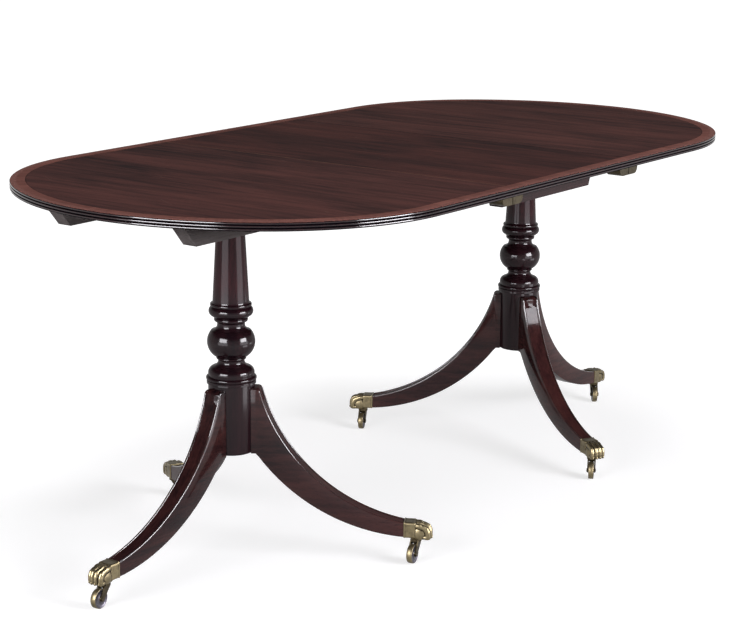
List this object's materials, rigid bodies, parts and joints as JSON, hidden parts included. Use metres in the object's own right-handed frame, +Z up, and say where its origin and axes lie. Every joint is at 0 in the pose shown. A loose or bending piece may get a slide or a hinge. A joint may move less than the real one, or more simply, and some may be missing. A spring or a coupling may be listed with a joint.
{
  "type": "double pedestal dining table",
  "caption": "Twin pedestal dining table with rounded tilting ends, a loose centre leaf, reeded edges, turned columns and sabre legs on brass paw castors.",
  "frame": {"origin": "on the floor under the middle of the table", "axes": "+X along the table's length towards the right end, +Y to the far side, +Z up"},
  "size_m": [1.7907, 0.892, 0.72],
  "materials": {
    "top_mahogany": "french polished, grain across the table",
    "crossband": "french polished veneer, grain across the band",
    "edge_mahogany": "polished, reeded",
    "under_frame_wood": "stained, unpolished",
    "pedestal_mahogany": "polished, turned and carved",
    "cast_brass": "aged, dark in the recesses",
    "castor_wheel_brass": "worn tread",
    "iron": "dull",
    "steel_screw": "dull"
  },
  "bodies": {
    "left_top": {"left_end_board": "top_mahogany", "left_end_crossband": "crossband", "left_end_reeded_edge": "edge_mahogany", "left_near_bearer": "under_frame_wood", "left_far_bearer": "under_frame_wood", "left_bearer_screws": "steel_screw", "left_fork_sockets": "cast_brass", "left_pivot_rod": "iron", "left_catch_case": "cast_brass"},
    "leaf": {"leaf_board": "top_mahogany", "leaf_crossbands": "crossband", "leaf_reeded_edges": "edge_mahogany", "leaf_bearers": "under_frame_wood", "leaf_bearer_screws": "steel_screw", "leaf_forks": "cast_brass"},
    "right_top": {"right_end_board": "top_mahogany", "right_end_crossband": "crossband", "right_end_reeded_edge": "edge_mahogany", "right_near_bearer": "under_frame_wood", "right_far_bearer": "under_frame_wood", "right_bearer_screws": "steel_screw", "right_fork_sockets": "cast_brass", "right_pivot_rod": "iron", "right_catch_case": "cast_brass"},
    "left_pedestal": {"left_tilt_block": "under_frame_wood", "left_column": "pedestal_mahogany", "left_leg_1": "pedestal_mahogany", "left_leg_2": "pedestal_mahogany", "left_leg_3": "pedestal_mahogany", "left_paw_1": "cast_brass", "left_paw_2": "cast_brass", "left_paw_3": "cast_brass"},
    "left_catch": {"left_catch_bolt": "cast_brass"},
    "left_castor_1": {"left_castor_horn_1": "cast_brass", "left_castor_axle_1": "cast_brass"},
    "left_wheel_1": {"left_castor_wheel_1": "castor_wheel_brass"},
    "left_castor_2": {"left_castor_horn_2": "cast_brass", "left_castor_axle_2": "cast_brass"},
    "left_wheel_2": {"left_castor_wheel_2": "castor_wheel_brass"},
    "left_castor_3": {"left_castor_horn_3": "cast_brass", "left_castor_axle_3": "cast_brass"},
    "left_wheel_3": {"left_castor_wheel_3": "castor_wheel_brass"},
    "right_pedestal": {"right_tilt_block": "under_frame_wood", "right_column": "pedestal_mahogany", "right_leg_1": "pedestal_mahogany", "right_leg_2": "pedestal_mahogany", "right_leg_3": "pedestal_mahogany", "right_paw_1": "cast_brass", "right_paw_2": "cast_brass", "right_paw_3": "cast_brass"},
    "right_catch": {"right_catch_bolt": "cast_brass"},
    "right_castor_1": {"right_castor_horn_1": "cast_brass", "right_castor_axle_1": "cast_brass"},
    "right_wheel_1": {"right_castor_wheel_1": "castor_wheel_brass"},
    "right_castor_2": {"right_castor_horn_2": "cast_brass", "right_castor_axle_2": "cast_brass"},
    "right_wheel_2": {"right_castor_wheel_2": "castor_wheel_brass"},
    "right_castor_3": {"right_castor_horn_3": "cast_brass", "right_castor_axle_3": "cast_brass"},
    "right_wheel_3": {"right_castor_wheel_3": "castor_wheel_brass"}
  },
  "joints": [
    {"name": "leaf_draw", "type": "slide", "parent": "left_top", "child": "leaf", "axis": [1, 0, 0], "range_m": [0, 0.1]},
    {"name": "right_end_draw", "type": "slide", "parent": "leaf", "child": "right_top", "axis": [1, 0, 0], "range_m": [0, 0.1]},
    {"name": "left_tilt", "type": "hinge", "parent": "left_top", "child": "left_pedestal", "pos_m": [-0.6113, 0, 0.684], "axis": [0, 1, 0], "range_deg": [0, 90]},
    {"name": "left_catch_slide", "type": "slide", "parent": "left_top", "child": "left_catch", "axis": [-1, 0, 0], "range_m": [0, 0.014]},
    {"name": "left_castor_1_swivel", "type": "hinge", "parent": "left_pedestal", "child": "left_castor_1", "pos_m": [-0.86, 0, 0.0455], "axis": [0, 0, 1], "continuous": true},
    {"name": "left_castor_1_roll", "type": "hinge", "parent": "left_castor_1", "child": "left_wheel_1", "pos_m": [-0.8779, -0.00188, 0.0185], "axis": [0.1045, -0.9945, 0], "continuous": true},
    {"name": "left_castor_2_swivel", "type": "hinge", "parent": "left_pedestal", "child": "left_castor_2", "pos_m": [-0.329, -0.30657, 0.0455], "axis": [0, 0, 1], "continuous": true},
    {"name": "left_castor_2_roll", "type": "hinge", "parent": "left_castor_2", "child": "left_wheel_2", "pos_m": [-0.34654, -0.31062, 0.0185], "axis": [0.225, -0.9744, 0], "continuous": true},
    {"name": "left_castor_3_swivel", "type": "hinge", "parent": "left_pedestal", "child": "left_castor_3", "pos_m": [-0.329, 0.30657, 0.0455], "axis": [0, 0, 1], "continuous": true},
    {"name": "left_castor_3_roll", "type": "hinge", "parent": "left_castor_3", "child": "left_wheel_3", "pos_m": [-0.31127, 0.30345, 0.0185], "axis": [0.1736, 0.9848, 0], "continuous": true},
    {"name": "right_tilt", "type": "hinge", "parent": "right_top", "child": "right_pedestal", "pos_m": [0.6113, 0, 0.684], "axis": [0, -1, 0], "range_deg": [0, 90]},
    {"name": "right_catch_slide", "type": "slide", "parent": "right_top", "child": "right_catch", "axis": [1, 0, 0], "range_m": [0, 0.014]},
    {"name": "right_castor_1_swivel", "type": "hinge", "parent": "right_pedestal", "child": "right_castor_1", "pos_m": [0.86, 0, 0.0455], "axis": [0, 0, 1], "continuous": true},
    {"name": "right_castor_1_roll", "type": "hinge", "parent": "right_castor_1", "child": "right_wheel_1", "pos_m": [0.84582, -0.01108, 0.0185], "axis": [0.6157, -0.788, 0], "continuous": true},
    {"name": "right_castor_2_swivel", "type": "hinge", "parent": "right_pedestal", "child": "right_castor_2", "pos_m": [0.329, 0.30657, 0.0455], "axis": [0, 0, 1], "continuous": true},
    {"name": "right_castor_2_roll", "type": "hinge", "parent": "right_castor_2", "child": "right_wheel_2", "pos_m": [0.31282, 0.29868, 0.0185], "axis": [0.4384, -0.8988, 0], "continuous": true},
    {"name": "right_castor_3_swivel", "type": "hinge", "parent": "right_pedestal", "child": "right_castor_3", "pos_m": [0.329, -0.30657, 0.0455], "axis": [0, 0, 1], "continuous": true},
    {"name": "right_castor_3_roll", "type": "hinge", "parent": "right_castor_3", "child": "right_wheel_3", "pos_m": [0.31311, -0.31502, 0.0185], "axis": [0.4695, -0.8829, 0], "continuous": true}
  ]
}
